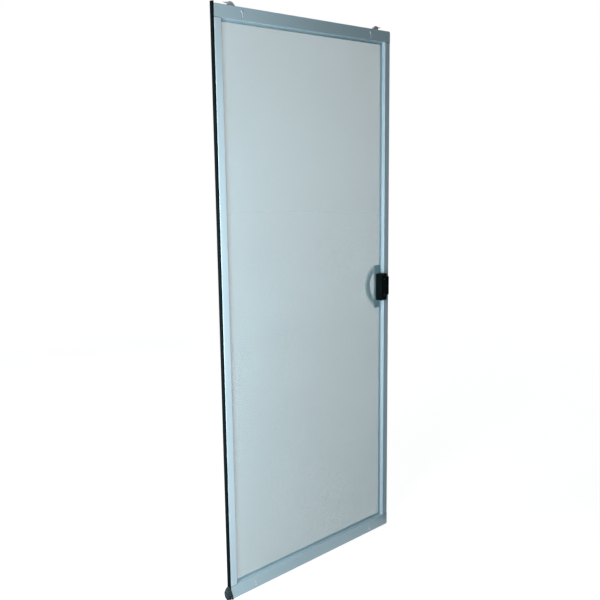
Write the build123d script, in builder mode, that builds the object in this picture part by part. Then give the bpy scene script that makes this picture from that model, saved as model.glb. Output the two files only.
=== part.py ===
"""A sliding screen door: a framed panel of insect screen that hangs and rolls in a track on four wheels.

X runs across the door, from the seal edge to the latch edge. Y runs through it, from the room side
(the front) to the outside. Z is up. The origin is on the flat underside of the bottom rail, at its
middle. Lengths are in millimetres.
"""

from build123d import *
import os

# The panel
width = 901.7
height = 2019.3
thickness = 21.0
top_face = 42.0
bottom_face = 49.0
stile_face = 30.0
wall = 1.2
edge_round = 1.6
corner_round = 7.0
fit = 0.3

# The lip that holds the screen, set back behind the face of the frame
lip_width = 9.0
lip_setback = 12.0
lip_thickness = 6.5
lip_wall = 1.2
groove_inset = 3.5
groove_width = 4.0
groove_depth = 5.0

# The screen and its spline
mesh_thickness = 0.4
mesh_tuck = 3.0
spline_radius = 1.7
screen_border = 22.0
screen_bar = 8.0
openings_across = 6
openings_up = 12

# The corner keys
key_leg = 45.0
key_leg_inset = 5.0
key_leg_depth = 13.0
key_leg_chamfer = 1.5

# The rollers: places are measured from the door's side edge, heights from the rail's outer edge
wheel_radius = 12.0
wheel_width = 5.4
wheel_groove = 1.8
wheel_place = 77.0
top_reach = 14.0
bottom_reach = 3.0
axle_radius = 2.0
axle_proud = 0.8
running_gap = 0.05
side_gap = 0.5
arm_plate = 1.4
arm_root = 108.0
arm_shoulder = 22.0
arm_tip = 24.0
arm_thickness = 2.2
cheek_half = 8.0
cheek_drop = 7.0
crest_rise = 9.0
tip_dip = 2.0
tip_curl = 4.0
anchor_length = 22.0
anchor_above = 6.0
anchor_below = 20.0
screw_place = 120.0
screw_depth = 14.0
screw_radius = 2.0
screw_length = 8.0
screw_head_radius = 3.8
screw_head = 2.2
slot_width = 5.0
slot_start = 9.0
slot_end = 37.0
mouth_margin = 4.0
mouth_gap = 2.0

# The seal on the edge away from the latch
seal_width = 16.5
seal_front_margin = 1.0
seal_base = 1.2
seal_fin = 4.5
seal_fin_tip = 1.6
seal_shoulder = 1.0
seal_above = 6.0

# The splayed end of the seal: height and outward reach of each section of the tuft, from its foot up
flare_sections = [(-2.5, 9.0), (8.0, 17.0), (22.0, 20.0), (38.0, 13.0), (52.0, 4.5)]
flare_spread = 1.35
flare_cheek = 0.55

# The handle set: a pull on each side of the screen, clamped together over the lip of the latch stile
handle_height = 1032.0
grip_width = 36.5
grip_length = 106.0
grip_proud = 16.0
grip_wall = 2.2
grip_round = 2.5
grip_chamfer = 0.8
groove_count = 3
grip_groove_depth = 0.9
grip_groove_width = 4.5
screw_inset = 17.0
pull_screw_spacing = 64.0
pull_screw_radius = 2.2
pull_screw_head_radius = 3.6
pull_screw_head = 1.6
boss_wall = 2.2
base_thickness = 4.0
bow_length = 168.0
bow_reach = 55.0
bow_thickness = 9.0
bow_width = 20.0
bow_foot = 13.0

# The latch: a thumb turn on a plate, with a hook inside the stile that swings out of its edge
plate_length = 74.0
plate_thickness = 1.8
plate_wrap = 3.0
plate_bend = 1.0
pivot_inset = 13.0
turn_width = 8.0
turn_length = 24.0
turn_thickness = 3.0
turn_chamfer = 0.8
turn_shaft_radius = 2.5
turn_boss_radius = 5.0
hook_width = 8.0
hook_length = 24.0
hook_claw = 5.0
hook_claw_width = 5.0
hook_thickness = 3.0
hook_clearance = 5.0

# Places worked out from the sizes above
front = -thickness / 2
back = thickness / 2
lip_front = front + lip_setback
lip_back = lip_front + lip_thickness
latch_edge = width / 2
latch_inner = latch_edge - stile_face
clear_width = width - 2 * stile_face
stile_length = height - top_face - bottom_face
groove_outer_x = width / 2 - stile_face - groove_inset
groove_inner_x = groove_outer_x - groove_width
groove_bottom = bottom_face + groove_inset
groove_top = height - top_face - groove_inset
spline_depth = lip_front + mesh_thickness + spline_radius
weave_half_width = groove_inner_x + mesh_thickness - screen_border
weave_bottom = groove_bottom + groove_width + screen_border
weave_top = groove_top - groove_width - screen_border
arm_half = wheel_width / 2 + side_gap
mouth_half = arm_half + arm_plate + mouth_gap
anchor_front = front + wall
grip_front = front - grip_proud
grip_back = lip_front - mesh_thickness - fit
grip_right = latch_inner - fit
grip_left = grip_right - grip_width
grip_middle = (grip_left + grip_right) / 2
pull_screw_x = latch_inner - screw_inset
pull_screw_levels = [handle_height - pull_screw_spacing / 2, handle_height + pull_screw_spacing / 2]
base_front = lip_back + fit
base_back = base_front + base_thickness
pivot_x = latch_edge - pivot_inset
slot_drop = hook_length + hook_clearance
slot_half_depth = hook_thickness / 2 + hook_clearance
CORNERS = [("top_left", -1, 1), ("top_right", 1, 1), ("bottom_left", -1, -1), ("bottom_right", 1, -1)]

os.makedirs("parts", exist_ok=True)


def save(part, name):
    """Label one piece and write it."""
    part.label = name
    export_step(part, f"parts/{name}.step")


def rectangle_between(a0, a1, b0, b1, mode=Mode.ADD):
    """Draw a rectangle between two corners of the open sketch."""
    with Locations(((a0 + a1) / 2, (b0 + b1) / 2)):
        Rectangle(abs(a1 - a0), abs(b1 - b0), mode=mode)


def rounded_between(a0, a1, b0, b1, radius):
    """Draw a rectangle with rounded corners between two corners of the open sketch."""
    with Locations(((a0 + a1) / 2, (b0 + b1) / 2)):
        RectangleRounded(abs(a1 - a0), abs(b1 - b0), radius)


def front_plane(y):
    """A plane that faces the room at depth y, with X across and Z up."""
    return Plane.XZ.offset(-y)


def across(side, inset):
    """X at a distance in from the seal edge (side -1) or the latch edge (side 1)."""
    return side * (width / 2 - inset)


def up(end, rise):
    """Z at a height out from the edge of the bottom rail (end -1) or the top rail (end 1)."""
    if end > 0:
        return height + rise
    return -rise


def face_of(end):
    """The face height of the rail at that end."""
    if end > 0:
        return top_face
    return bottom_face


def reach_of(end):
    """How far the wheels stand out of the rail at that end."""
    if end > 0:
        return top_reach
    return bottom_reach


def groove_ring():
    """Draw the loop of the spline groove, seen from the front."""
    rectangle_between(-groove_outer_x, groove_outer_x, groove_bottom, groove_top)
    rectangle_between(-groove_inner_x, groove_inner_x, groove_bottom + groove_width,
                      groove_top - groove_width, Mode.SUBTRACT)


def draw_offcut(side, end):
    """Draw what the rounded outer corner of the panel leaves off, seen from the front."""
    rectangle_between(across(side, 0), across(side, corner_round), up(end, 0), up(end, -corner_round))
    with Locations((across(side, corner_round), up(end, -corner_round))):
        Circle(corner_round, mode=Mode.SUBTRACT)


def make_rail(end):
    """A rail: a hollow bar the width of the door, with the screen's lip on its inner edge."""
    face = face_of(end)
    with BuildPart() as rail:
        with BuildSketch(Plane.YZ.offset(-width / 2)):
            rounded_between(front, back, up(end, 0), up(end, -face), edge_round)
            rectangle_between(front + wall, back - wall, up(end, -wall), up(end, wall - face), Mode.SUBTRACT)
        extrude(amount=width)
        with BuildSketch(Plane.YZ.offset(-clear_width / 2)):
            rectangle_between(lip_front, lip_back, up(end, -face), up(end, -face - lip_width))
            rectangle_between(lip_front + lip_wall, lip_back, up(end, -face),
                              up(end, -face - groove_inset + lip_wall), Mode.SUBTRACT)
        extrude(amount=clear_width)
        with BuildSketch(front_plane(lip_front)):
            groove_ring()
        extrude(amount=-groove_depth, mode=Mode.SUBTRACT)
        for side in (-1, 1):
            with BuildSketch(Plane.XY.offset(up(end, 0))):
                rectangle_between(across(side, wheel_place - arm_tip - mouth_margin),
                                  across(side, wheel_place + arm_tip + mouth_margin),
                                  -mouth_half, mouth_half)
            extrude(amount=-end * wall, mode=Mode.SUBTRACT)
            with BuildSketch(front_plane(front)):
                with Locations((across(side, screw_place), up(end, -(slot_start + slot_end) / 2))):
                    SlotOverall(slot_end - slot_start, slot_width, rotation=90)
            extrude(amount=-wall, mode=Mode.SUBTRACT)
            with BuildSketch(Plane.XY.offset(up(end, -face))):
                rectangle_between(across(side, key_leg_inset - fit),
                                  across(side, stile_face - key_leg_inset + fit),
                                  -key_leg_depth / 2 - fit, key_leg_depth / 2 + fit)
            extrude(amount=end * wall, mode=Mode.SUBTRACT)
            with BuildSketch(front_plane(front)):
                draw_offcut(side, end)
            extrude(amount=-thickness, mode=Mode.SUBTRACT)
    return rail.part


def make_stile(side):
    """A stile: a hollow bar between the rails, with the screen's lip on its inner edge."""
    with BuildPart() as stile:
        with BuildSketch(Plane.XY.offset(bottom_face)):
            rounded_between(across(side, 0), across(side, stile_face), front, back, edge_round)
            rectangle_between(across(side, wall), across(side, stile_face - wall),
                              front + wall, back - wall, Mode.SUBTRACT)
        extrude(amount=stile_length)
        with BuildSketch(Plane.XY.offset(bottom_face + lip_width)):
            rectangle_between(across(side, stile_face), across(side, stile_face + lip_width), lip_front, lip_back)
            rectangle_between(across(side, stile_face), across(side, stile_face + groove_inset - lip_wall),
                              lip_front + lip_wall, lip_back, Mode.SUBTRACT)
        extrude(amount=stile_length - 2 * lip_width)
        with BuildSketch(front_plane(lip_front)):
            groove_ring()
        extrude(amount=-groove_depth, mode=Mode.SUBTRACT)
        if side > 0:
            with BuildSketch(Plane.YZ.offset(latch_edge)):
                rectangle_between(-slot_half_depth, slot_half_depth, handle_height - slot_drop,
                                  handle_height + hook_width / 2 + hook_clearance)
            extrude(amount=-wall, mode=Mode.SUBTRACT)
            with BuildSketch(front_plane(front)):
                with Locations((pivot_x, handle_height)):
                    Circle(turn_boss_radius + fit)
            extrude(amount=-wall, mode=Mode.SUBTRACT)
    return stile.part


def make_corner_key(side, end):
    """A corner key: a block that plugs the end of the rail, with a leg down into the stile."""
    face = face_of(end)
    block_depth = thickness - 2 * wall - 2 * fit
    with BuildPart() as key:
        with BuildSketch(front_plane(-block_depth / 2)):
            rectangle_between(across(side, 0), across(side, stile_face),
                              up(end, -wall - fit), up(end, wall + fit - face))
        extrude(amount=-block_depth)
        with BuildSketch(front_plane(-key_leg_depth / 2)):
            rectangle_between(across(side, key_leg_inset), across(side, stile_face - key_leg_inset),
                              up(end, wall + fit - face), up(end, -face - key_leg))
        extrude(amount=-key_leg_depth)
        leg_end = key.faces().filter_by(Axis.Z).sort_by(Axis.Z)[0 if end > 0 else -1]
        chamfer(leg_end.edges(), length=key_leg_chamfer)
        with BuildSketch(front_plane(front)):
            draw_offcut(side, end)
        extrude(amount=-thickness, mode=Mode.SUBTRACT)
    return key.part


def spots(side, end, points):
    """Turn (distance from the side edge, height out from the rail's edge) pairs into places on the front."""
    return [(across(side, inset), up(end, rise)) for inset, rise in points]


def hub_of(side, end):
    """The place of a wheel's hub on the front."""
    return spots(side, end, [(wheel_place, reach_of(end) - wheel_radius)])


def make_roller_arm(side, end):
    """A roller arm: it is screwed to the rail at one end and its free tip curls over past the wheel."""
    hub = reach_of(end) - wheel_radius
    crest = hub + crest_rise
    shoulder = (hub - screw_depth + crest_rise) / 2
    tip = wheel_place - arm_tip
    outline = spots(side, end, [
        (arm_root, -screw_depth - anchor_above),
        (arm_root, -screw_depth + anchor_above),
        (wheel_place + arm_shoulder, shoulder),
        (wheel_place + cheek_half, crest),
        (wheel_place - cheek_half, crest),
        (tip + tip_curl, crest - tip_dip),
        (tip, crest),
        (tip, crest - arm_thickness),
        (tip + tip_curl, crest - tip_dip - arm_thickness),
        (wheel_place - cheek_half, crest - 2 * arm_thickness),
        (wheel_place - cheek_half, hub - cheek_drop),
        (wheel_place + cheek_half, hub - cheek_drop),
    ])
    with BuildPart() as arm:
        with BuildSketch(front_plane(-arm_half - arm_plate)):
            with BuildLine():
                Polyline(*outline, close=True)
            make_face()
        extrude(amount=-2 * (arm_half + arm_plate))
        inner = spots(side, end, [(tip - arm_plate, crest + wheel_radius), (arm_root - arm_plate, -face_of(end))])
        with BuildSketch(front_plane(-arm_half)):
            rectangle_between(inner[0][0], inner[1][0], inner[0][1], inner[1][1])
        extrude(amount=-2 * arm_half, mode=Mode.SUBTRACT)
        anchor = spots(side, end, [(arm_root - arm_plate, -screw_depth + anchor_above),
                                   (arm_root + anchor_length, -screw_depth - anchor_below)])
        with BuildSketch(front_plane(anchor_front)):
            rectangle_between(anchor[0][0], anchor[1][0], anchor[0][1], anchor[1][1])
        extrude(amount=anchor_front - arm_half)
        with BuildSketch(front_plane(0)):
            with Locations(hub_of(side, end)):
                Circle(axle_radius)
        extrude(amount=thickness / 2, both=True, mode=Mode.SUBTRACT)
        with BuildSketch(front_plane(anchor_front)):
            with Locations(spots(side, end, [(screw_place, -screw_depth)])):
                Circle(screw_radius)
        extrude(amount=anchor_front - arm_half, mode=Mode.SUBTRACT)
    return arm.part


def make_wheel(side, end):
    """A nylon wheel with a V groove in its rim and a bore for the axle."""
    hub_x, hub_z = hub_of(side, end)[0]
    half = wheel_width / 2
    with BuildPart() as wheel:
        with BuildSketch(Plane(origin=(hub_x, 0, hub_z), x_dir=(1, 0, 0), z_dir=(0, 0, 1))):
            with BuildLine():
                Polyline((axle_radius + running_gap, -half), (wheel_radius, -half),
                         (wheel_radius - wheel_groove, 0), (wheel_radius, half),
                         (axle_radius + running_gap, half), close=True)
            make_face()
        revolve(axis=Axis((hub_x, 0, hub_z), (0, 1, 0)))
    return wheel.part


def make_axle(side, end):
    """The pin that a wheel turns on, riveted a little proud of the arm's plates."""
    reach = arm_half + arm_plate + axle_proud
    with BuildPart() as axle:
        with BuildSketch(front_plane(-reach)):
            with Locations(hub_of(side, end)):
                Circle(axle_radius)
        extrude(amount=-2 * reach)
    return axle.part


def make_adjusting_screw(side, end):
    """The screw that holds a roller arm at its height, seen in its slot in the rail's face."""
    spot = spots(side, end, [(screw_place, -screw_depth)])
    with BuildPart() as screw:
        with BuildSketch(front_plane(front - screw_head)):
            with Locations(spot):
                Circle(screw_head_radius)
        extrude(amount=-screw_head)
        with BuildSketch(front_plane(front)):
            with Locations(spot):
                Circle(screw_radius)
        extrude(amount=-screw_length)
    return screw.part


def make_screen():
    """The screen: a flat sheet over the lips, open between its threads, with its edges turned down into the groove."""
    pitch_x = (2 * weave_half_width + screen_bar) / openings_across
    pitch_z = (weave_top - weave_bottom + screen_bar) / openings_up
    with BuildPart() as screen:
        with BuildSketch(front_plane(lip_front - mesh_thickness)):
            rectangle_between(-groove_inner_x - mesh_thickness, groove_inner_x + mesh_thickness,
                              groove_bottom + groove_width - mesh_thickness,
                              groove_top - groove_width + mesh_thickness)
        extrude(amount=-mesh_thickness)
        with BuildSketch(front_plane(lip_front)):
            rectangle_between(-groove_inner_x - mesh_thickness, groove_inner_x + mesh_thickness,
                              groove_bottom + groove_width - mesh_thickness,
                              groove_top - groove_width + mesh_thickness)
            rectangle_between(-groove_inner_x, groove_inner_x, groove_bottom + groove_width,
                              groove_top - groove_width, Mode.SUBTRACT)
        extrude(amount=-mesh_tuck)
        with BuildSketch(front_plane(lip_front - mesh_thickness)):
            with Locations((0, (weave_bottom + weave_top) / 2)):
                with GridLocations(pitch_x, pitch_z, openings_across, openings_up):
                    Rectangle(pitch_x - screen_bar, pitch_z - screen_bar)
            with Locations([(pull_screw_x, level) for level in pull_screw_levels]):
                Circle(pull_screw_radius + fit)
        extrude(amount=-mesh_thickness, mode=Mode.SUBTRACT)
    return screen.part


def make_upright_spline(side):
    """The round cord in the groove of a stile."""
    with BuildPart() as spline:
        with BuildSketch(Plane.XY.offset(groove_bottom + groove_width)):
            with Locations((side * (groove_outer_x - spline_radius), spline_depth)):
                Circle(spline_radius)
        extrude(amount=groove_top - groove_bottom - 2 * groove_width)
    return spline.part


def make_level_spline(end):
    """The round cord in the groove of a rail, the whole way between the grooves' ends."""
    inward = groove_inset + spline_radius
    with BuildPart() as spline:
        with BuildSketch(Plane.YZ.offset(-groove_outer_x)):
            with Locations((spline_depth, up(end, -face_of(end) - inward))):
                Circle(spline_radius)
        extrude(amount=2 * groove_outer_x)
    return spline.part


def make_seal():
    """The bug seal: a rubber strip on the outer edge, with a fin that closes the gap to the next door."""
    start = front + seal_front_margin
    with BuildPart() as seal:
        with BuildSketch(Plane.XY):
            rectangle_between(-width / 2 - seal_base, -width / 2, start, start + seal_width)
            with BuildLine():
                Polyline((-width / 2 - seal_base, start + seal_shoulder),
                         (-width / 2 - seal_fin, start + seal_shoulder + seal_fin_tip),
                         (-width / 2 - seal_fin, start + seal_width - seal_shoulder - seal_fin_tip),
                         (-width / 2 - seal_base, start + seal_width - seal_shoulder), close=True)
            make_face()
        extrude(amount=height + seal_above)
    return seal.part


def make_seal_flare():
    """The splayed end of the seal's pile at the foot of the door: a tuft, widest at its middle."""
    edge = -width / 2 - seal_fin - fit
    middle = front + seal_front_margin + seal_width / 2
    with BuildPart() as flare:
        for level, reach in flare_sections:
            half = reach * flare_spread / 2
            with BuildSketch(Plane.XY.offset(level)):
                with BuildLine():
                    Polyline((edge, middle - half), (edge - flare_cheek * reach, middle - half),
                             (edge - reach, middle - half / 2), (edge - reach, middle + half / 2),
                             (edge - flare_cheek * reach, middle + half), (edge, middle + half), close=True)
                make_face()
        loft(ruled=True)
    return flare.part


def make_inside_pull():
    """The inside pull: a hollow moulded block beside the stile, with finger grooves down its free side."""
    with BuildPart() as pull:
        with BuildSketch(front_plane(grip_front)):
            with Locations((grip_middle, handle_height)):
                RectangleRounded(grip_width, grip_length, grip_round)
        extrude(amount=grip_front - grip_back)
        chamfer(pull.faces().sort_by(Axis.Y)[0].edges(), length=grip_chamfer)
        with BuildSketch(front_plane(grip_front + grip_wall)):
            with Locations((grip_middle, handle_height)):
                Rectangle(grip_width - 2 * grip_wall, grip_length - 2 * grip_wall)
        extrude(amount=grip_front - grip_back, mode=Mode.SUBTRACT)
        groove_pitch = (grip_back - grip_front - 2 * grip_round) / groove_count
        with BuildSketch(Plane.XY.offset(handle_height - grip_length / 2 + grip_round)):
            for index in range(groove_count):
                with Locations((grip_left, grip_front + grip_round + groove_pitch * (index + 0.5))):
                    Rectangle(2 * grip_groove_depth, grip_groove_width)
        extrude(amount=grip_length - 2 * grip_round, mode=Mode.SUBTRACT)
        with BuildSketch(front_plane(grip_front + grip_wall)):
            with Locations([(pull_screw_x, level) for level in pull_screw_levels]):
                Circle(pull_screw_radius + running_gap + boss_wall)
        extrude(amount=grip_front + grip_wall - grip_back)
        with BuildSketch(front_plane(grip_front)):
            with Locations([(pull_screw_x, level) for level in pull_screw_levels]):
                Circle(pull_screw_radius + running_gap)
        extrude(amount=grip_front - grip_back, mode=Mode.SUBTRACT)
    return pull.part


def make_outside_pull():
    """The outside pull: a bow on a base plate behind the lip, with bosses that meet the screen."""
    low = handle_height - bow_length / 2
    high = handle_height + bow_length / 2
    with BuildPart() as pull:
        with BuildSketch(front_plane(base_front)):
            with Locations((grip_middle, handle_height)):
                RectangleRounded(grip_width, bow_length + 2 * grip_round, grip_round)
        extrude(amount=-base_thickness)
        with BuildSketch(Plane.YZ.offset(grip_middle - bow_width / 2)):
            with BuildLine():
                outer = ThreePointArc((base_back, low), (base_front + bow_reach, handle_height), (base_back, high))
                inner = ThreePointArc((base_back, low + bow_foot),
                                      (base_front + bow_reach - bow_thickness, handle_height),
                                      (base_back, high - bow_foot))
                Line(outer @ 0, inner @ 0)
                Line(outer @ 1, inner @ 1)
            make_face()
        extrude(amount=bow_width)
        with BuildSketch(front_plane(lip_front + fit)):
            with Locations([(pull_screw_x, level) for level in pull_screw_levels]):
                Circle(pull_screw_radius + boss_wall)
        extrude(amount=lip_front + fit - base_front)
        with BuildSketch(front_plane(lip_front + fit)):
            with Locations([(pull_screw_x, level) for level in pull_screw_levels]):
                Circle(pull_screw_radius)
        extrude(amount=lip_front + fit - base_back, mode=Mode.SUBTRACT)
    return pull.part


def make_pull_screw(level):
    """A screw that draws the inside and outside pulls together through the screen."""
    with BuildPart() as screw:
        with BuildSketch(front_plane(grip_front - pull_screw_head)):
            with Locations((pull_screw_x, level)):
                Circle(pull_screw_head_radius)
        extrude(amount=-pull_screw_head)
        with BuildSketch(front_plane(grip_front)):
            with Locations((pull_screw_x, level)):
                Circle(pull_screw_radius)
        extrude(amount=grip_front - base_back)
    return screw.part


def make_latch_plate():
    """The plate on the face of the latch stile, wrapped round its outer edge, with a boss for the turn."""
    low = handle_height - plate_length / 2
    high = handle_height + plate_length / 2
    with BuildPart() as plate:
        with BuildSketch(front_plane(front - plate_thickness)):
            rectangle_between(latch_inner, latch_edge + wall, low, high)
        extrude(amount=-plate_thickness)
        with BuildSketch(Plane.YZ.offset(latch_edge)):
            rectangle_between(front, front + plate_wrap, low, high)
        extrude(amount=wall)
        fillet(plate.edges().filter_by(Axis.Y).group_by(Axis.X)[-1], radius=plate_bend)
        with BuildSketch(front_plane(front)):
            with Locations((pivot_x, handle_height)):
                Circle(turn_boss_radius)
        extrude(amount=front + hook_thickness / 2 + fit)
        with BuildSketch(front_plane(front - plate_thickness)):
            with Locations((pivot_x, handle_height)):
                Circle(turn_shaft_radius + running_gap)
        extrude(amount=front - plate_thickness + hook_thickness / 2 + fit, mode=Mode.SUBTRACT)
    return plate.part


def make_latch_turn():
    """The thumb turn, with its shaft through the plate's boss to the hook."""
    turn_back = front - plate_thickness - fit
    with BuildPart() as turn:
        with BuildSketch(front_plane(turn_back - turn_thickness)):
            with Locations((pivot_x, handle_height)):
                SlotOverall(turn_length, turn_width, rotation=90)
        extrude(amount=-turn_thickness)
        chamfer(turn.faces().sort_by(Axis.Y)[0].edges(), length=turn_chamfer)
        with BuildSketch(front_plane(turn_back)):
            with Locations((pivot_x, handle_height)):
                Circle(turn_shaft_radius)
        extrude(amount=turn_back - hook_thickness / 2)
    return turn.part


def make_latch_hook():
    """The hook on the inner end of the shaft: it hangs inside the stile until the turn swings it out."""
    with BuildPart() as hook:
        with BuildSketch(front_plane(-hook_thickness / 2)):
            with Locations((pivot_x, handle_height)):
                Circle(hook_width / 2)
            rectangle_between(pivot_x - hook_width / 2, pivot_x + hook_width / 2, handle_height - hook_length,
                              handle_height)
            rectangle_between(pivot_x + hook_width / 2, pivot_x + hook_width / 2 + hook_claw,
                              handle_height - hook_length, handle_height - hook_length + hook_claw_width)
            with Locations((pivot_x, handle_height)):
                Circle(turn_shaft_radius, mode=Mode.SUBTRACT)
        extrude(amount=-hook_thickness)
    return hook.part


save(make_rail(1), "top_rail")
save(make_rail(-1), "bottom_rail")
save(make_stile(-1), "seal_stile")
save(make_stile(1), "latch_stile")
for corner, side, end in CORNERS:
    save(make_corner_key(side, end), f"corner_key_{corner}")
    save(make_roller_arm(side, end), f"roller_arm_{corner}")
    save(make_wheel(side, end), f"roller_wheel_{corner}")
    save(make_axle(side, end), f"roller_axle_{corner}")
    save(make_adjusting_screw(side, end), f"adjusting_screw_{corner}")
save(make_screen(), "screen_mesh")
save(make_upright_spline(-1), "spline_seal_side")
save(make_upright_spline(1), "spline_latch_side")
save(make_level_spline(1), "spline_top")
save(make_level_spline(-1), "spline_bottom")
save(make_seal(), "bug_seal")
save(make_seal_flare(), "seal_flare")
save(make_inside_pull(), "inside_pull")
save(make_outside_pull(), "outside_pull")
save(make_pull_screw(pull_screw_levels[0]), "pull_screw_lower")
save(make_pull_screw(pull_screw_levels[1]), "pull_screw_upper")
save(make_latch_plate(), "latch_plate")
save(make_latch_turn(), "latch_turn")
save(make_latch_hook(), "latch_hook")
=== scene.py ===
"""The looks of a sliding screen door: metal frame, woven screen, rubber seal, rollers and pulls."""

import math
import random

import bpy
from mathutils import Matrix, Vector


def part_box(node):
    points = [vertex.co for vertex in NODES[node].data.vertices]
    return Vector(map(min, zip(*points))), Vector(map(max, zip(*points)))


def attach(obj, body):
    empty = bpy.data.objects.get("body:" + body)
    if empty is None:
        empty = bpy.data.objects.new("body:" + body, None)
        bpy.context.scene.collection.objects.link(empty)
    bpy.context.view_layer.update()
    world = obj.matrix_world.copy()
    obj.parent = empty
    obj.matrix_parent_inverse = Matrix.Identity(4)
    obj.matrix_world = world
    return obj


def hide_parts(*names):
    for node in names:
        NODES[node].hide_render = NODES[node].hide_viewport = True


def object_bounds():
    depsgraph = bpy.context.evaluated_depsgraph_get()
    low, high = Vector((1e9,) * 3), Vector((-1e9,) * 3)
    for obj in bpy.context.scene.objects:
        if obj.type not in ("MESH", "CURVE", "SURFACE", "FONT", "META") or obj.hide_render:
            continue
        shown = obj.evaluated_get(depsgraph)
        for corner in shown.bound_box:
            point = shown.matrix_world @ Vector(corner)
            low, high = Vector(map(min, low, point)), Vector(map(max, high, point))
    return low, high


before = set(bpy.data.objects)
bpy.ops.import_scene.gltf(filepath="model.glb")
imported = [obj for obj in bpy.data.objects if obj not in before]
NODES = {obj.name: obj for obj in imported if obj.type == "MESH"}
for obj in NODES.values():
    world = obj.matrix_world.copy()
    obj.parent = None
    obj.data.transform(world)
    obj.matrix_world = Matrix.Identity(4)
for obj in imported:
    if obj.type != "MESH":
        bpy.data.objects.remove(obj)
cad_low, cad_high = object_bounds()

# Lengths are in metres, and shares and strengths have no unit.
MM = 0.001
INCH = 25.4 * MM

# The insect screen, with 18 upright and 16 level yarns to the inch
PITCH_ACROSS = INCH / 18
PITCH_UP = INCH / 16
THREAD = 0.352 * MM
SCREEN_FRONT = 1.1 * MM

# The joints between rails and stiles, painted as dark lines of shadow on the stile's own face without the
# lip for the screen
STILE_FACE = 30 * MM
SEAM = 1.2 * MM
SEAM_PROUD = 0.06 * MM

# The screws, with the rounding and the cross recess as shares of the head
ROD_SIDES = 32
ROUNDING_STEPS = 3
ADJUSTING_HEAD = 2.2 * MM
ADJUSTING_SHAFT = 2.0 * MM
PULL_HEAD = 1.6 * MM
PULL_SHAFT = 2.2 * MM
HEAD_ROUNDING = 0.35
RECESS_REACH = 0.62
RECESS_HALF_WIDTH = 0.13
RECESS_DEPTH = 0.6
SMOOTH_ANGLE = math.radians(35)

# The tuft of pile: its fibres, and its outline and core as shares of its width and height
FIBRE_SEED = 11
FIBRE_COUNT = 700
FRONT_FIBRES = 90
FIBRE_STEPS = 5
FIBRE_RADIUS = 0.28 * MM
FIBRE_INSET = 0.9 * MM
NECK_WIDTH = 0.25
BELLY_PLACE = 0.8
BELLY_FULLNESS = 0.7
CORE_SHARE = 0.86
CORE_HEIGHT = 0.94
CORE_SIDES = 20
CORE_RINGS = 12

# A fibre that sweeps outwards: its start and drop as shares of the height, the degrees it may
# point sideways, its reach as a share of the width, and how much of its reach it has at the root
OUTWARD_START = (0.35, 0.98)
OUTWARD_SWEEP = (0.25, 0.6)
OUTWARD_ANGLE = 88
OUTWARD_DEPTH = (0.7, 1.0)
OUTWARD_ROOT = 0.35
OUTWARD_LOWEST = 0.03

# A fibre that wraps the panel's lower front corner: how far it goes, its start and drop as shares
# of the height, how it bends, and how proud of the face it lies
FIBRE_WRAP = 13.5 * MM
FRONT_WRAP = (0.3, 1.0)
FRONT_START = (0.45, 0.85)
FRONT_DROP = 0.92
FRONT_BEND = 0.7
FRONT_ROOT = 0.5
FRONT_LIFT = (0.8, 1.2)

# Longer than the tuft, for the block that cuts its core flat
BEYOND = 1

# Colours of the pieces that show most
FRAME_COLOUR = (0.555, 0.70, 0.765)
# The rails' colour is a darker copy of the stiles': painted shade that stands in for the duller
# reflection off metal brushed along the level bars.
RAIL_SHADED_COLOUR = (0.46, 0.61, 0.67)
YARN_COLOUR = (0.17, 0.33, 0.37)

# How patterns are stretched: evenly, or along and across a bar as fine drawing lines and broad clouds
EVEN = (1, 1, 1)
LINES_ALONG = 14.0
LINES_ACROSS = 900.0
CLOUDS_ALONG = 0.8
CLOUDS_ACROSS = 6.0

# The part of a pattern over which one colour goes over into the other
BLEND_START = 0.3
BLEND_END = 0.7

# The camera that fits the photograph, from the front face of the panel, with its angles in degrees
IMAGE_SIDE = 600
FOCAL_LENGTH = 51.80
SENSOR_WIDTH = 36
CAMERA_PLACE = (-2.343, -2.132, 1.512)
CAMERA_YAW = -46.36
CAMERA_PITCH = -10.91
CAMERA_ROLL = 0.80
SHIFT_X = 0.0092
SHIFT_Y = 0.0553

# The floor, which is a little darker near the door, where the shadow falls, than far away
FLOOR_SIDE = 40
FLOOR_GAP = 0.02
FLOOR_COLOUR = (0.35, 0.35, 0.35)
FLOOR_NEAR = 1.5
FLOOR_FAR = 6.0
NEAR_GLOW = 0.90

# What the floor and the world throw onto the door
BOUNCE_COLOUR = (0.40, 0.42, 0.43)
SKY_COLOUR = (0.80, 0.90, 1.0)
SKY_STRENGTH = 0.05

# The lamps: name, place, aim, size, power in watts and colour
LAMPS = (
    ("key", (-1.25, -0.55, 1.09), (0.1, 0, 1.05), (0.5, 1.6), 31.5, (0.90, 0.96, 1.0)),
    ("overhead", (-0.2, -0.5, 3.4), (0, 0, 0), (1.6, 0.8), 5, (1.0, 1.0, 1.0)),
    ("back_fill", (1.5, 3.0, 2.5), (0, 0, 1.0), (2.5, 2.5), 22, (1.0, 1.0, 1.0)),
    ("back_side", (-1.8, 0.7, 1.2), (0.4, 0.05, 1.03), (0.6, 0.6), 20, (0.95, 1.0, 1.0)),
)

# The dark cards: name and two corners
CARD_COLOUR = (0.015, 0.07, 0.07)
CARDS = (
    ("dark_card_high", (1.1, -2.40, 1.1), (12.0, -2.38, 6.0)),
    ("dark_card_low", (1.95, -2.40, 0.0), (12.0, -2.38, 1.1)),
    ("dark_card_floor", (0.50, -2.40, -0.015), (12.0, -0.045, -0.01)),
)


def deselect():
    """Nothing stays selected, so that the next operator acts on its own piece alone."""
    bpy.ops.object.select_all(action="DESELECT")


def pick(piece):
    """Select one piece and make it the active one."""
    deselect()
    piece.select_set(True)
    bpy.context.view_layer.objects.active = piece


def settle(piece):
    """Put a piece's place, turn and size into its mesh."""
    pick(piece)
    bpy.ops.object.transform_apply(location=True, rotation=True, scale=True)


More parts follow.
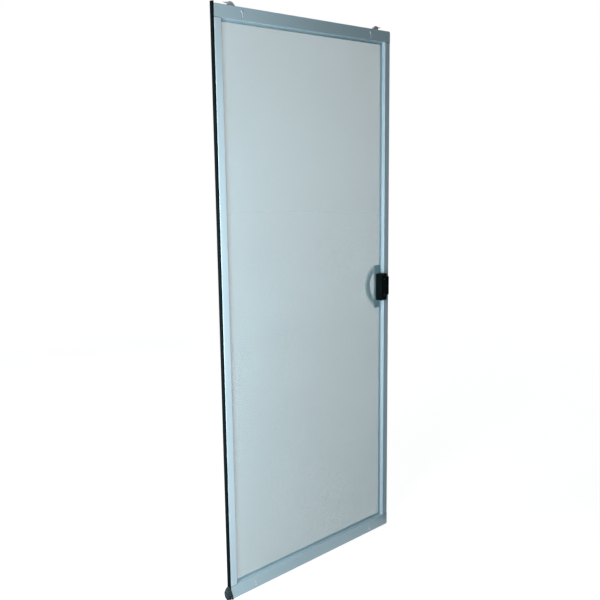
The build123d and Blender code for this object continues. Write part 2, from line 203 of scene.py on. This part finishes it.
def apply_modifier(piece, kind, name, **settings):
    """Add a modifier, set it and apply it."""
    pick(piece)
    modifier = piece.modifiers.new(name, kind)
    for key, value in settings.items():
        setattr(modifier, key, value)
    bpy.ops.object.modifier_apply(modifier=name)


def repeat(piece, count, step):
    """Copy a piece in a row."""
    apply_modifier(piece, "ARRAY", "row", count=count, use_relative_offset=False,
                   use_constant_offset=True, constant_offset_displace=step)


def cut(piece, tool):
    """Cut one piece away from another."""
    apply_modifier(piece, "BOOLEAN", "cut", operation="DIFFERENCE", object=tool, solver="EXACT")
    bpy.data.objects.remove(tool)


def join(first, second):
    """Make one piece of two."""
    pick(first)
    second.select_set(True)
    bpy.ops.object.join()


def coat(piece, finish):
    """Give a piece its one finish."""
    slots = piece.data.materials
    slots.clear()
    slots.append(finish)


def add_block(name, low, high):
    """A block between two corners."""
    deselect()
    middle = [(a + b) / 2 for a, b in zip(low, high)]
    bpy.ops.mesh.primitive_cube_add(size=1, location=middle)
    block = bpy.context.object
    block.name = name
    block.scale = [b - a for a, b in zip(low, high)]
    settle(block)
    return block


def add_rod(name, middle, radius, front, back):
    """A round bar along Y between two depths."""
    deselect()
    place = (middle.x, (front + back) / 2, middle.z)
    bpy.ops.mesh.primitive_cylinder_add(vertices=ROD_SIDES, radius=radius, depth=back - front,
                                        location=place, rotation=(math.radians(90), 0, 0))
    rod = bpy.context.object
    rod.name = name
    settle(rod)
    return rod


def shader_of(finish):
    """A material's main shader."""
    return finish.node_tree.nodes["Principled BSDF"]


def new_finish(name, colour, roughness, metallic=0.0):
    """A material with its main numbers on the shader's own sockets."""
    finish = bpy.data.materials.new(name)
    finish.use_nodes = True
    shader = shader_of(finish)
    shader.inputs["Base Color"].default_value = (*colour, 1)
    shader.inputs["Roughness"].default_value = roughness
    shader.inputs["Metallic"].default_value = metallic
    return finish


def shade(colour, share):
    """A colour made darker or lighter by a share."""
    return tuple(min(1.0, value * share) for value in colour)


def dull(finish, level):
    """Turn down a finish's shine."""
    shader_of(finish).inputs["Specular IOR Level"].default_value = level


def cloud(finish, scale, stretch=EVEN, detail=4.0):
    """A cloud pattern on the object's own coordinates, which may be stretched."""
    tree = finish.node_tree
    where = tree.nodes.new("ShaderNodeTexCoord")
    mapping = tree.nodes.new("ShaderNodeMapping")
    mapping.inputs["Scale"].default_value = stretch
    noise = tree.nodes.new("ShaderNodeTexNoise")
    noise.inputs["Scale"].default_value = scale
    noise.inputs["Detail"].default_value = detail
    tree.links.new(where.outputs["Object"], mapping.inputs["Vector"])
    tree.links.new(mapping.outputs["Vector"], noise.inputs["Vector"])
    return noise.outputs["Fac"]


def blend_colours(finish, pattern, dark, light):
    """Spread the base colour between two colours by a pattern."""
    tree = finish.node_tree
    ramp = tree.nodes.new("ShaderNodeValToRGB")
    first, last = ramp.color_ramp.elements
    first.position = BLEND_START
    first.color = (*dark, 1)
    last.position = BLEND_END
    last.color = (*light, 1)
    tree.links.new(pattern, ramp.inputs["Fac"])
    tree.links.new(ramp.outputs["Color"], shader_of(finish).inputs["Base Color"])


def spread_roughness(finish, pattern, low, high):
    """Spread the roughness between two values by a pattern."""
    tree = finish.node_tree
    spread = tree.nodes.new("ShaderNodeMapRange")
    spread.inputs["To Min"].default_value = low
    spread.inputs["To Max"].default_value = high
    tree.links.new(pattern, spread.inputs["Value"])
    tree.links.new(spread.outputs["Result"], shader_of(finish).inputs["Roughness"])


def add_bump(finish, pattern, strength, depth):
    """Raise the surface by a pattern."""
    tree = finish.node_tree
    bump = tree.nodes.new("ShaderNodeBump")
    bump.inputs["Strength"].default_value = strength
    bump.inputs["Distance"].default_value = depth
    tree.links.new(pattern, bump.inputs["Height"])
    tree.links.new(bump.outputs["Normal"], shader_of(finish).inputs["Normal"])


def make_frame_finish(name, along, colour):
    """Satin anodised aluminium with fine drawing lines along the bar."""
    lines = [LINES_ALONG if axis == along else LINES_ACROSS for axis in range(3)]
    clouds = [CLOUDS_ALONG if axis == along else CLOUDS_ACROSS for axis in range(3)]
    finish = new_finish(name, colour, roughness=0.42, metallic=0.22)
    dull(finish, 0.3)
    blend_colours(finish, cloud(finish, 3.0, clouds), dark=shade(colour, 0.96), light=shade(colour, 1.04))
    spread_roughness(finish, cloud(finish, 9.0, clouds), low=0.36, high=0.48)
    add_bump(finish, cloud(finish, 1.0, lines, detail=2.0), strength=0.12, depth=0.06 * MM)
    return finish


def make_steel_finish():
    """Zinc plated spring steel."""
    finish = new_finish("zinc_plated_steel", (0.72, 0.75, 0.77), roughness=0.36, metallic=0.55)
    blend_colours(finish, cloud(finish, 240.0), dark=(0.62, 0.65, 0.68), light=(0.78, 0.80, 0.81))
    spread_roughness(finish, cloud(finish, 120.0), low=0.24, high=0.42)
    add_bump(finish, cloud(finish, 900.0), strength=0.15, depth=0.05 * MM)
    return finish


def make_nylon_finish():
    """Off-white nylon of the wheels."""
    finish = new_finish("wheel_nylon", (0.72, 0.72, 0.68), roughness=0.45)
    shader_of(finish).inputs["Subsurface Weight"].default_value = 0.08
    blend_colours(finish, cloud(finish, 160.0), dark=(0.62, 0.62, 0.58), light=(0.76, 0.76, 0.73))
    add_bump(finish, cloud(finish, 1400.0), strength=0.1, depth=0.05 * MM)
    return finish


def make_key_finish():
    """Grey moulded nylon of the corner keys."""
    finish = new_finish("corner_key_nylon", (0.10, 0.11, 0.12), roughness=0.5)
    blend_colours(finish, cloud(finish, 90.0), dark=(0.08, 0.09, 0.10), light=(0.13, 0.14, 0.15))
    add_bump(finish, cloud(finish, 1800.0), strength=0.2, depth=0.06 * MM)
    return finish


def make_yarn_finish():
    """Vinyl-coated yarn of the insect screen."""
    finish = new_finish("screen_yarn", YARN_COLOUR, roughness=0.55)
    pattern = cloud(finish, 2.2, detail=3.0)
    blend_colours(finish, pattern, dark=shade(YARN_COLOUR, 0.94), light=shade(YARN_COLOUR, 1.06))
    return finish


def make_spline_finish():
    """Grey vinyl spline cord."""
    finish = new_finish("spline_vinyl", (0.52, 0.60, 0.64), roughness=0.6)
    blend_colours(finish, cloud(finish, 60.0), dark=(0.48, 0.56, 0.60), light=(0.56, 0.64, 0.68))
    add_bump(finish, cloud(finish, 700.0), strength=0.3, depth=0.1 * MM)
    return finish


def make_seal_finish():
    """Black rubber of the bug seal, faintly ribbed along its length."""
    finish = new_finish("seal_rubber", (0.003, 0.005, 0.006), roughness=0.7)
    dull(finish, 0.03)
    streaks = cloud(finish, 120.0, stretch=(1, 1, 0.1))
    ribs = cloud(finish, 1.0, stretch=(900, 900, 20), detail=2.0)
    blend_colours(finish, streaks, dark=(0.002, 0.004, 0.005), light=(0.005, 0.008, 0.009))
    add_bump(finish, ribs, strength=0.35, depth=0.2 * MM)
    return finish


def make_pile_finish():
    """Grey-black pile fibres at the splayed end of the seal."""
    finish = new_finish("seal_pile", (0.04, 0.052, 0.055), roughness=0.85)
    dull(finish, 0.05)
    pattern = cloud(finish, 260.0, detail=6.0)
    blend_colours(finish, pattern, dark=(0.004, 0.007, 0.008), light=(0.075, 0.098, 0.103))
    return finish


def make_pull_finish():
    """Black moulded plastic with a fine grain."""
    finish = new_finish("pull_plastic", (0.004, 0.0075, 0.008), roughness=0.5)
    dull(finish, 0.03)
    blend_colours(finish, cloud(finish, 70.0), dark=(0.003, 0.006, 0.0065), light=(0.006, 0.010, 0.011))
    spread_roughness(finish, cloud(finish, 200.0), low=0.44, high=0.58)
    add_bump(finish, cloud(finish, 2200.0), strength=0.25, depth=0.08 * MM)
    return finish


def make_outside_pull_lightened_finish():
    """Near-white plastic of the outside pull: painted light, pale so that it stays faint in the shade
    behind the screen.
    """
    finish = new_finish("outside_pull_painted_pale", (0.84, 0.90, 0.91), roughness=0.5)
    blend_colours(finish, cloud(finish, 70.0), dark=(0.82, 0.88, 0.89), light=(0.86, 0.92, 0.93))
    add_bump(finish, cloud(finish, 2200.0), strength=0.25, depth=0.08 * MM)
    return finish


def make_black_screw_finish():
    """Black oxide of the pull's screws."""
    finish = new_finish("black_screw", (0.03, 0.031, 0.033), roughness=0.38, metallic=0.8)
    blend_colours(finish, cloud(finish, 500.0), dark=(0.02, 0.021, 0.023), light=(0.05, 0.051, 0.053))
    return finish


def dress_nodes():
    """Every CAD node that shows gets the finish of the real piece."""
    # The level bars take the darker copy of the frame metal, whose darkness is painted shade.
    level = make_frame_finish("frame_metal_level_shaded", 0, RAIL_SHADED_COLOUR)
    upright = make_frame_finish("frame_metal_upright", 2, FRAME_COLOUR)
    steel = make_steel_finish()
    nylon = make_nylon_finish()
    key = make_key_finish()
    spline = make_spline_finish()
    pull = make_pull_finish()
    for name, node in NODES.items():
        if name.endswith("_rail"):
            coat(node, level)
        elif name.endswith("_stile"):
            coat(node, upright)
        elif name.startswith("corner_key"):
            coat(node, key)
        elif name.startswith("roller_wheel"):
            coat(node, nylon)
        elif name.startswith("roller_") or name == "latch_hook":
            coat(node, steel)
        elif name.startswith("spline"):
            coat(node, spline)
        elif name in ("inside_pull", "latch_plate", "latch_turn"):
            coat(node, pull)
    # The outside pull is painted near-white, as painted light against the shade it sits in behind the
    # screen.
    coat(NODES["outside_pull"], make_outside_pull_lightened_finish())
    coat(NODES["bug_seal"], make_seal_finish())


def make_screen():
    """The insect screen: upright and level yarns that cross, from groove to groove."""
    low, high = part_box("screen_mesh")
    back = SCREEN_FRONT + THREAD
    screen = add_block("screen_weave", (low.x, SCREEN_FRONT, low.z), (low.x + THREAD, back, high.z))
    repeat(screen, math.floor((high.x - low.x) / PITCH_ACROSS), (PITCH_ACROSS, 0, 0))
    level = add_block("level_yarns", (low.x, SCREEN_FRONT, low.z), (high.x, back, low.z + THREAD))
    repeat(level, math.floor((high.z - low.z) / PITCH_UP), (0, 0, PITCH_UP))
    join(screen, level)
    coat(screen, make_yarn_finish())
    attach(screen, "door_panel")
    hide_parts("screen_mesh")


def add_seam(low, high, level):
    """The joint at one end of a stile: a line of painted shadow on its front and one on its back."""
    outer, inner = (low.x, low.x + STILE_FACE) if low.x < 0 else (high.x - STILE_FACE, high.x)
    below = level - SEAM / 2
    above = level + SEAM / 2
    front = add_block("joint_shadow_lines", (outer, low.y - SEAM_PROUD, below), (inner, low.y + SEAM, above))
    back = add_block("joint_shadow_lines", (outer, high.y - SEAM, below), (inner, high.y + SEAM_PROUD, above))
    join(front, back)
    return front


def make_seams():
    """The joints between the rails and the stiles, painted as dark lines of shadow."""
    seams = []
    for at_top in (True, False):
        for stile in ("seal_stile", "latch_stile"):
            low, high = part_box(stile)
            seams.append(add_seam(low, high, high.z if at_top else low.z))
    lines = seams[0]
    for seam in seams[1:]:
        join(lines, seam)
    coat(lines, new_finish("joint_shadow", (0.05, 0.06, 0.065), roughness=0.8))
    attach(lines, "door_panel")


def make_screw(node, head_depth, shaft_radius, finish):
    """A pan-head screw with a cross recess, in place of its plain CAD node."""
    low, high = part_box(node)
    middle = (low + high) / 2
    radius = (high.x - low.x) / 2
    head = add_rod(node + "_head", middle, radius, low.y, low.y + head_depth)
    apply_modifier(head, "BEVEL", "rounding", width=head_depth * HEAD_ROUNDING,
                   segments=ROUNDING_STEPS, limit_method="ANGLE")
    reach = radius * RECESS_REACH
    slim = radius * RECESS_HALF_WIDTH
    for half_x, half_z in ((reach, slim), (slim, reach)):
        front_corner = (middle.x - half_x, low.y - head_depth, middle.z - half_z)
        back_corner = (middle.x + half_x, low.y + head_depth * RECESS_DEPTH, middle.z + half_z)
        cut(head, add_block("recess", front_corner, back_corner))
    join(head, add_rod("shaft", middle, shaft_radius, low.y + head_depth, high.y))
    pick(head)
    bpy.ops.object.shade_smooth_by_angle(angle=SMOOTH_ANGLE)
    coat(head, finish)
    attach(head, "door_panel")
    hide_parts(node)


def make_screws():
    """The four adjusting screws of the rollers and the two screws of the pulls."""
    steel = make_steel_finish()
    black = make_black_screw_finish()
    for node in sorted(NODES):
        if node.startswith("adjusting_screw"):
            make_screw(node, ADJUSTING_HEAD, ADJUSTING_SHAFT, steel)
        elif node.startswith("pull_screw"):
            make_screw(node, PULL_HEAD, PULL_SHAFT, black)


def tuft_reach(share):
    """How wide the tuft stands at a share of its height, from its foot (0) to its top (1)."""
    bulge = math.sin(math.pi * (1 - share) ** BELLY_PLACE) ** BELLY_FULLNESS
    return NECK_WIDTH + (1 - NECK_WIDTH) * bulge


def outward_fibre(chance, low, high):
    """The places of a fibre that sweeps down and out from the seal."""
    wide = high.x - low.x - FIBRE_INSET
    half = (high.y - low.y) / 2 - FIBRE_INSET
    middle = (high.y + low.y) / 2
    tall = high.z - low.z - 2 * FIBRE_INSET
    start = chance.uniform(*OUTWARD_START)
    sweep = chance.uniform(*OUTWARD_SWEEP)
    angle = math.radians(chance.uniform(-OUTWARD_ANGLE, OUTWARD_ANGLE))
    depth = chance.uniform(*OUTWARD_DEPTH)
    places = []
    for step in range(FIBRE_STEPS + 1):
        along = step / FIBRE_STEPS
        share = max(OUTWARD_LOWEST, start - sweep * along)
        spread = tuft_reach(share) * (OUTWARD_ROOT + (1 - OUTWARD_ROOT) * along)
        x = high.x - wide * spread * depth * math.cos(angle)
        y = middle + half * spread * math.sin(angle)
        places.append((x, y, low.z + FIBRE_INSET + tall * share))
    return places


def front_fibre(chance, low, high):
    """The places of a fibre that wraps the front of the panel's lower corner."""
    wrap = chance.uniform(*FRONT_WRAP) * FIBRE_WRAP
    start = chance.uniform(*FRONT_START)
    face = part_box("bottom_rail")[0].y
    places = []
    for step in range(FIBRE_STEPS + 1):
        along = step / FIBRE_STEPS
        x = high.x + wrap * along ** FRONT_BEND
        y = face - FIBRE_INSET - (FRONT_ROOT + along) * chance.uniform(*FRONT_LIFT) * MM
        z = low.z + FIBRE_INSET + (high.z - low.z) * start * (1 - FRONT_DROP * along)
        places.append((x, y, z))
    return places


def make_fibres(low, high):
    """The tuft's loose fibres, as one mesh of thin round threads."""
    chance = random.Random(FIBRE_SEED)
    rows = [outward_fibre(chance, low, high) for _ in range(FIBRE_COUNT)]
    rows += [front_fibre(chance, low, high) for _ in range(FRONT_FIBRES)]
    data = bpy.data.curves.new("seal_tuft", "CURVE")
    data.dimensions = "3D"
    data.bevel_depth = FIBRE_RADIUS
    data.bevel_resolution = 0
    for row in rows:
        fibre = data.splines.new("POLY")
        fibre.points.add(len(row) - 1)
        for point, place in zip(fibre.points, row):
            point.co = (*place, 1)
    fibres = bpy.data.objects.new("seal_tuft", data)
    bpy.context.scene.collection.objects.link(fibres)
    pick(fibres)
    bpy.ops.object.convert(target="MESH")
    return bpy.context.object


def make_tuft_core(low, high):
    """The dense middle of the tuft, flat against the seal."""
    deselect()
    middle = (low + high) / 2
    bpy.ops.mesh.primitive_uv_sphere_add(segments=CORE_SIDES, ring_count=CORE_RINGS, radius=0.5,
                                         location=(high.x, middle.y, middle.z))
    core = bpy.context.object
    size = high - low
    core.scale = (2 * CORE_SHARE * size.x, CORE_SHARE * size.y, CORE_HEIGHT * size.z)
    settle(core)
    near_corner = (high.x, low.y - BEYOND, low.z - BEYOND)
    far_corner = (high.x + BEYOND, high.y + BEYOND, high.z + BEYOND)
    cut(core, add_block("beyond", near_corner, far_corner))
    return core


def make_tuft():
    """The splayed end of the seal's pile: a soft core under fibres that sweep down and out."""
    low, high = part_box("seal_flare")
    tuft = make_fibres(low, high)
    join(tuft, make_tuft_core(low, high))
    coat(tuft, make_pile_finish())
    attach(tuft, "door_panel")
    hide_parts("seal_flare")


def add_camera():
    """A camera at the photograph's place."""
    front = min(vertex.co.y for vertex in NODES["top_rail"].data.vertices)
    lens = bpy.data.cameras.new("photo_camera")
    lens.lens = FOCAL_LENGTH
    lens.sensor_width = SENSOR_WIDTH
    lens.shift_x = SHIFT_X
    lens.shift_y = SHIFT_Y
    camera = bpy.data.objects.new("photo_camera", lens)
    bpy.context.scene.collection.objects.link(camera)
    yaw = Matrix.Rotation(math.radians(CAMERA_YAW), 4, "Z")
    pitch = Matrix.Rotation(math.radians(CAMERA_PITCH), 4, "X")
    roll = Matrix.Rotation(math.radians(CAMERA_ROLL), 4, "Y")
    level = Matrix.Rotation(math.radians(90), 4, "X")
    turn = yaw @ pitch @ roll @ level
    camera.matrix_world = Matrix.Translation(Vector(CAMERA_PLACE) + Vector((0, front, 0))) @ turn
    bpy.context.scene.camera = camera


def set_view():
    """Show colours as they are, in a square picture."""
    scene = bpy.context.scene
    scene.view_settings.view_transform = "Standard"
    scene.render.resolution_x = IMAGE_SIDE
    scene.render.resolution_y = IMAGE_SIDE


def larger(tree, first, second):
    """The larger of two numbers in a node tree."""
    node = tree.nodes.new("ShaderNodeMath")
    node.operation = "MAXIMUM"
    tree.links.new(first, node.inputs[0])
    tree.links.new(second, node.inputs[1])
    return node.outputs[0]


def white_for_sight(tree, shader, white, out):
    """Show white to the camera, to reflections and through glass, and the shader to everything else."""
    path = tree.nodes.new("ShaderNodeLightPath").outputs
    seen = larger(tree, path["Is Camera Ray"], path["Is Glossy Ray"])
    seen = larger(tree, seen, path["Is Transmission Ray"])
    mix = tree.nodes.new("ShaderNodeMixShader")
    tree.links.new(seen, mix.inputs[0])
    tree.links.new(shader.outputs[0], mix.inputs[1])
    tree.links.new(white.outputs[0], mix.inputs[2])
    tree.links.new(mix.outputs[0], out.inputs["Surface"])


def set_world():
    """A white world to look at, and a dimmer one to be lit by."""
    world = bpy.data.worlds.new("studio")
    bpy.context.scene.world = world
    world.use_nodes = True
    tree = world.node_tree
    tree.nodes.clear()
    dim = tree.nodes.new("ShaderNodeBackground")
    dim.inputs["Color"].default_value = (*SKY_COLOUR, 1)
    dim.inputs["Strength"].default_value = SKY_STRENGTH
    white = tree.nodes.new("ShaderNodeBackground")
    white.inputs["Color"].default_value = (1, 1, 1, 1)
    white.inputs["Strength"].default_value = 1.0
    white_for_sight(tree, dim, white, tree.nodes.new("ShaderNodeOutputWorld"))


def add_floor_glow(tree):
    """The floor's own white, which fades a little towards the door."""
    glow = tree.nodes.new("ShaderNodeEmission")
    place = tree.nodes.new("ShaderNodeTexCoord")
    distance = tree.nodes.new("ShaderNodeVectorMath")
    distance.operation = "LENGTH"
    fade = tree.nodes.new("ShaderNodeMapRange")
    fade.inputs["From Min"].default_value = FLOOR_NEAR
    fade.inputs["From Max"].default_value = FLOOR_FAR
    fade.inputs["To Min"].default_value = NEAR_GLOW
    fade.inputs["To Max"].default_value = 1.0
    tree.links.new(place.outputs["Object"], distance.inputs[0])
    tree.links.new(distance.outputs["Value"], fade.inputs["Value"])
    tree.links.new(fade.outputs["Result"], glow.inputs["Strength"])
    return glow


def add_floor():
    """A white floor under the lowest wheel, which keeps the door's shadow."""
    deselect()
    bpy.ops.mesh.primitive_plane_add(size=FLOOR_SIDE, location=(0, 0, cad_low.z - FLOOR_GAP))
    floor = bpy.context.object
    floor.name = "floor"
    finish = new_finish("studio_floor", FLOOR_COLOUR, roughness=0.9)
    dull(finish, 0.0)
    tree = finish.node_tree
    white = tree.nodes.new("ShaderNodeAddShader")
    tree.links.new(shader_of(finish).outputs[0], white.inputs[0])
    tree.links.new(add_floor_glow(tree).outputs[0], white.inputs[1])
    bounce = tree.nodes.new("ShaderNodeBsdfDiffuse")
    bounce.inputs["Color"].default_value = (*BOUNCE_COLOUR, 1)
    white_for_sight(tree, bounce, white, tree.nodes["Material Output"])
    coat(floor, finish)


def add_lamps():
    """Soft unseen lamps: a tall key close to the left, one overhead, and two behind the door."""
    for name, place, aim, size, power, colour in LAMPS:
        deselect()
        bpy.ops.object.light_add(type="AREA", location=place)
        lamp = bpy.context.object
        lamp.name = name
        lamp.data.shape = "RECTANGLE"
        lamp.data.size, lamp.data.size_y = size
        lamp.data.energy = power
        lamp.data.color = colour
        lamp.visible_camera = False
        lamp.rotation_euler = (Vector(aim) - Vector(place)).to_track_quat("-Z", "Y").to_euler()


def add_dark_cards():
    """Dark cards that only reflections see, so that the frame goes dark to the right as in the photo."""
    finish = new_finish("card_black", CARD_COLOUR, roughness=1.0)
    for name, low, high in CARDS:
        card = add_block(name, low, high)
        coat(card, finish)
        card.visible_camera = False
        card.visible_diffuse = False
        card.visible_shadow = False
        card.visible_transmission = False


dress_nodes()
make_screen()
make_seams()
make_screws()
make_tuft()
add_camera()
set_world()
set_view()
add_floor()
add_lamps()
add_dark_cards()
